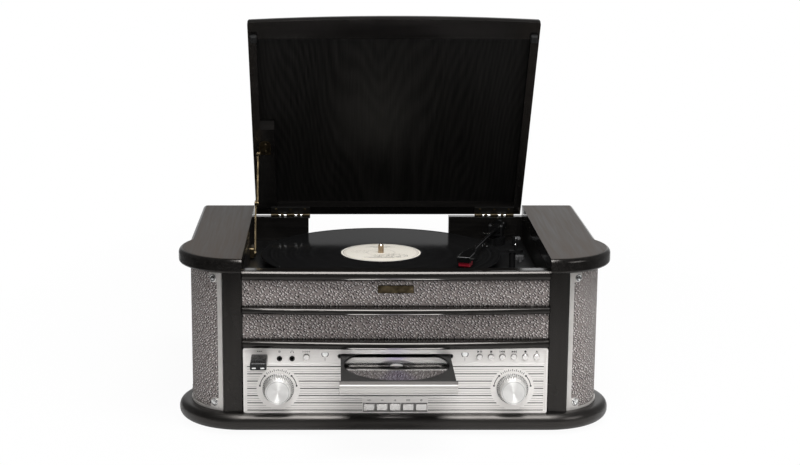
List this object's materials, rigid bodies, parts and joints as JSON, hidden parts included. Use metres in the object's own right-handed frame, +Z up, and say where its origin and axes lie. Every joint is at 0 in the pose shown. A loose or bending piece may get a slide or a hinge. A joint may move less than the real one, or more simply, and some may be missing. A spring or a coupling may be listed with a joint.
{
  "type": "record player",
  "caption": "Wooden record player with an open lid, tonearm, ribbed control panel, sliding disc drawer, round knobs and cloth-covered curved speaker pods.",
  "frame": {"origin": "on the surface it stands on, under the middle of its plan with the drawer out", "axes": "+X to the right of a person facing it, +Y to its back, +Z up"},
  "size_m": [0.517, 0.4399, 0.4778],
  "materials": {
    "black_lacquer": "satin black lacquer",
    "grille_cloth": "speckled woven grille cloth",
    "silver_panel": "satin silver paint",
    "grille_frame": "satin silver",
    "screw_steel": "plated",
    "knob_silver": "bright silver",
    "button_silver": "bright silver",
    "foot_rubber": "matt",
    "belt_rubber": "matt",
    "brass": "aged brass",
    "black_plastic": "moulded",
    "grey_plastic": "moulded",
    "tray_plastic": "moulded",
    "cartridge_red": "gloss",
    "vinyl": "grooved",
    "disc_mirror": "mirror",
    "steel": "bare",
    "platter_alloy": "cast",
    "circuit_board": "resist"
  },
  "bodies": {
    "cabinet": {"base_plinth": "black_lacquer", "rubber_feet": "foot_rubber", "top_boards": "black_lacquer", "front_stiles": "black_lacquer", "well_walls": "black_lacquer", "side_walls": "black_lacquer", "back_panel": "black_lacquer", "front_rails": "black_lacquer", "cloth_panels": "grille_cloth", "control_panel": "silver_panel", "grille_frames": "grille_frame", "grille_cloths": "grille_cloth", "grille_screws": "screw_steel", "speaker_drivers": "steel", "sockets": "black_plastic", "deck_plate": "black_plastic", "arm_base": "black_plastic", "drive_motor": "steel", "drive_belt": "belt_rubber", "cd_chassis": "grey_plastic", "control_board": "circuit_board", "power_supply": "steel", "hinge_cabinet_leaves": "brass", "stay_cabinet_bracket": "brass"},
    "lid": {"lid_board": "black_lacquer", "lid_rails": "black_lacquer", "hinge_lid_leaves": "brass", "stay_lid_bracket": "brass"},
    "stay_lower": {"stay_lower_arm": "brass"},
    "stay_upper": {"stay_upper_arm": "brass"},
    "turntable": {"platter": "platter_alloy", "slip_mat": "belt_rubber", "spindle": "steel", "record": "vinyl"},
    "pulley": {"motor_pulley": "black_plastic"},
    "yoke": {"arm_yoke": "grey_plastic"},
    "tonearm": {"tonearm_tube": "black_plastic", "headshell": "black_plastic", "cartridge": "cartridge_red"},
    "lift": {"lift_bar": "black_plastic"},
    "cue": {"cue_lever": "black_plastic"},
    "speed": {"speed_lever": "black_plastic"},
    "drawer": {"cd_tray": "tray_plastic", "cd_tray_front": "silver_panel"},
    "disc": {"compact_disc": "disc_mirror"},
    "stick": {"usb_stick": "black_plastic"},
    "volume": {"volume_knob": "knob_silver"},
    "tuning": {"tuning_knob": "knob_silver"},
    "function_button_body": {"function_button": "button_silver"},
    "play_button_body": {"play_button": "button_silver"},
    "stop_button_body": {"stop_button": "button_silver"},
    "skip_back_button_body": {"skip_back_button": "button_silver"},
    "skip_forward_button_body": {"skip_forward_button": "button_silver"},
    "record_button_body": {"record_button": "button_silver"},
    "drawer_button_body": {"drawer_button": "button_silver"},
    "band_key_body": {"band_key": "button_silver"},
    "preset_down_key_body": {"preset_down_key": "button_silver"},
    "preset_up_key_body": {"preset_up_key": "button_silver"},
    "program_key_body": {"program_key": "button_silver"},
    "mute_key_body": {"mute_key": "button_silver"}
  },
  "joints": [
    {"name": "lid_hinge", "type": "hinge", "parent": "cabinet", "child": "lid", "pos_m": [0, 0.19655, 0.1996], "axis": [1, 0, 0], "range_deg": [0, 56.3]},
    {"name": "stay_lower_swing", "type": "hinge", "parent": "cabinet", "child": "stay_lower", "pos_m": [-0.173, 0.08655, 0.172], "axis": [1, 0, 0], "range_deg": [-53.6, 0]},
    {"name": "stay_upper_swing", "type": "hinge", "parent": "lid", "child": "stay_upper", "pos_m": [-0.1705, 0.13324, 0.292], "axis": [1, 0, 0], "range_deg": [0, 48.55]},
    {"name": "platter_spin", "type": "hinge", "parent": "cabinet", "child": "turntable", "pos_m": [-0.013, 0.06915, 0.1775], "axis": [0, 0, -1], "continuous": true},
    {"name": "pulley_spin", "type": "hinge", "parent": "cabinet", "child": "pulley", "pos_m": [-0.0724, 0.00975, 0.166], "axis": [0, 0, -1], "continuous": true},
    {"name": "arm_swing", "type": "hinge", "parent": "cabinet", "child": "yoke", "pos_m": [0.14, 0.15555, 0.1905], "axis": [0, 0, 1], "range_deg": [-26, 21]},
    {"name": "arm_lift", "type": "hinge", "parent": "yoke", "child": "tonearm", "pos_m": [0.14, 0.15555, 0.1905], "axis": [-0.9578, 0.2873, 0], "range_deg": [0, 3]},
    {"name": "lift_rise", "type": "slide", "parent": "cabinet", "child": "lift", "axis": [0, 0, 1], "range_m": [0, 0.00131]},
    {"name": "cue_turn", "type": "hinge", "parent": "cabinet", "child": "cue", "pos_m": [0.166, 0.14555, 0.1775], "axis": [-1, 0, 0], "range_deg": [0, 45]},
    {"name": "speed_turn", "type": "hinge", "parent": "cabinet", "child": "speed", "pos_m": [0.162, 0.07955, 0.1665], "axis": [0, 0, 1], "range_deg": [-25, 25]},
    {"name": "drawer_slide", "type": "slide", "parent": "cabinet", "child": "drawer", "axis": [0, 1, 0], "range_m": [0, 0.1027]},
    {"name": "disc_spin", "type": "hinge", "parent": "drawer", "child": "disc", "pos_m": [0, -0.14795, 0.0941], "axis": [0, 0, 1], "continuous": true},
    {"name": "stick_pull", "type": "slide", "parent": "cabinet", "child": "stick", "axis": [0, -1, 0], "range_m": [0, 0.015]},
    {"name": "volume_turn", "type": "hinge", "parent": "cabinet", "child": "volume", "pos_m": [-0.137, -0.11045, 0.055], "axis": [0, -1, 0], "range_deg": [-140, 140]},
    {"name": "tuning_turn", "type": "hinge", "parent": "cabinet", "child": "tuning", "pos_m": [0.137, -0.11045, 0.055], "axis": [0, -1, 0], "continuous": true},
    {"name": "function_button_press", "type": "slide", "parent": "cabinet", "child": "function_button_body", "axis": [0, 1, 0], "range_m": [0, 0.0012], "stiffness_N_per_m": 300},
    {"name": "play_button_press", "type": "slide", "parent": "cabinet", "child": "play_button_body", "axis": [0, 1, 0], "range_m": [0, 0.0012], "stiffness_N_per_m": 300},
    {"name": "stop_button_press", "type": "slide", "parent": "cabinet", "child": "stop_button_body", "axis": [0, 1, 0], "range_m": [0, 0.0012], "stiffness_N_per_m": 300},
    {"name": "skip_back_button_press", "type": "slide", "parent": "cabinet", "child": "skip_back_button_body", "axis": [0, 1, 0], "range_m": [0, 0.0012], "stiffness_N_per_m": 300},
    {"name": "skip_forward_button_press", "type": "slide", "parent": "cabinet", "child": "skip_forward_button_body", "axis": [0, 1, 0], "range_m": [0, 0.0012], "stiffness_N_per_m": 300},
    {"name": "record_button_press", "type": "slide", "parent": "cabinet", "child": "record_button_body", "axis": [0, 1, 0], "range_m": [0, 0.0012], "stiffness_N_per_m": 300},
    {"name": "drawer_button_press", "type": "slide", "parent": "cabinet", "child": "drawer_button_body", "axis": [0, 1, 0], "range_m": [0, 0.0012], "stiffness_N_per_m": 300},
    {"name": "band_key_press", "type": "slide", "parent": "cabinet", "child": "band_key_body", "axis": [0, 1, 0], "range_m": [0, 0.0012], "stiffness_N_per_m": 300},
    {"name": "preset_down_key_press", "type": "slide", "parent": "cabinet", "child": "preset_down_key_body", "axis": [0, 1, 0], "range_m": [0, 0.0012], "stiffness_N_per_m": 300},
    {"name": "preset_up_key_press", "type": "slide", "parent": "cabinet", "child": "preset_up_key_body", "axis": [0, 1, 0], "range_m": [0, 0.0012], "stiffness_N_per_m": 300},
    {"name": "program_key_press", "type": "slide", "parent": "cabinet", "child": "program_key_body", "axis": [0, 1, 0], "range_m": [0, 0.0012], "stiffness_N_per_m": 300},
    {"name": "mute_key_press", "type": "slide", "parent": "cabinet", "child": "mute_key_body", "axis": [0, 1, 0], "range_m": [0, 0.0012], "stiffness_N_per_m": 300}
  ],
  "couplings": [
    {"joint": "stay_lower_swing", "follows": "lid_hinge", "ratio": -0.93427},
    {"joint": "stay_upper_swing", "follows": "lid_hinge", "ratio": 0.84461},
    {"joint": "pulley_spin", "follows": "platter_spin", "ratio": 12.222},
    {"joint": "arm_lift", "follows": "cue_turn", "ratio": 0.066667},
    {"joint": "lift_rise", "follows": "cue_turn", "m_per_rad": 0.0016682}
  ]
}
